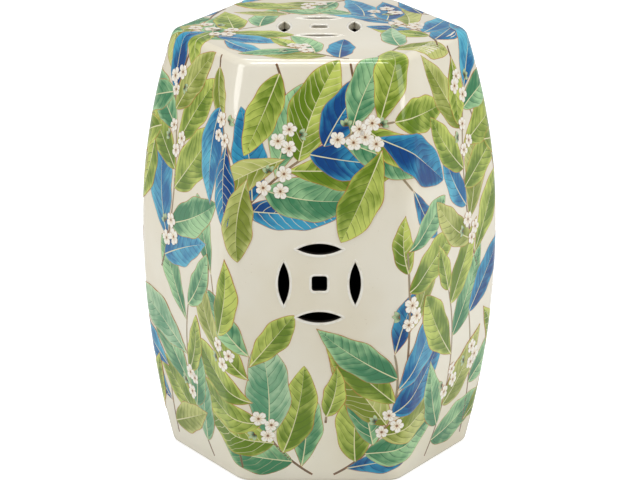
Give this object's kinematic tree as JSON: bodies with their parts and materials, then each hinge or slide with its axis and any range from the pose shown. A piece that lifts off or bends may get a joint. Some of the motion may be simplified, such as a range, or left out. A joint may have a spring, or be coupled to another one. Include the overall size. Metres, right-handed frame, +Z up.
{
  "type": "garden stool",
  "caption": "Hexagonal barrel-shaped ceramic stool with bowed sides, a crowned pierced seat, pierced front and back, and an open foot.",
  "frame": {"origin": "middle of the stool at floor level, on the underside of the foot", "axes": "+Z up, the pierced front face towards -Y, +X to the right seen from the front"},
  "size_m": [0.3748, 0.332, 0.457],
  "materials": {
    "painted_glaze": "glossy clear glaze over an ivory ground, painted with leaves and flowers",
    "bare_ceramic": "unglazed fired clay, matt",
    "inner_ceramic": "unglazed dark fired clay"
  },
  "bodies": {
    "root": {"wall_front": "painted_glaze", "wall_front_right": "painted_glaze", "wall_back_right": "painted_glaze", "wall_back": "painted_glaze", "wall_back_left": "painted_glaze", "wall_front_left": "painted_glaze", "seat_slab": "painted_glaze", "foot_flange": "bare_ceramic", "corner_coil_right": "inner_ceramic", "corner_coil_back_right": "inner_ceramic", "corner_coil_back_left": "inner_ceramic", "corner_coil_left": "inner_ceramic", "corner_coil_front_left": "inner_ceramic", "corner_coil_front_right": "inner_ceramic", "seat_coil": "inner_ceramic", "foot_coil": "inner_ceramic"}
  },
  "joints": []
}
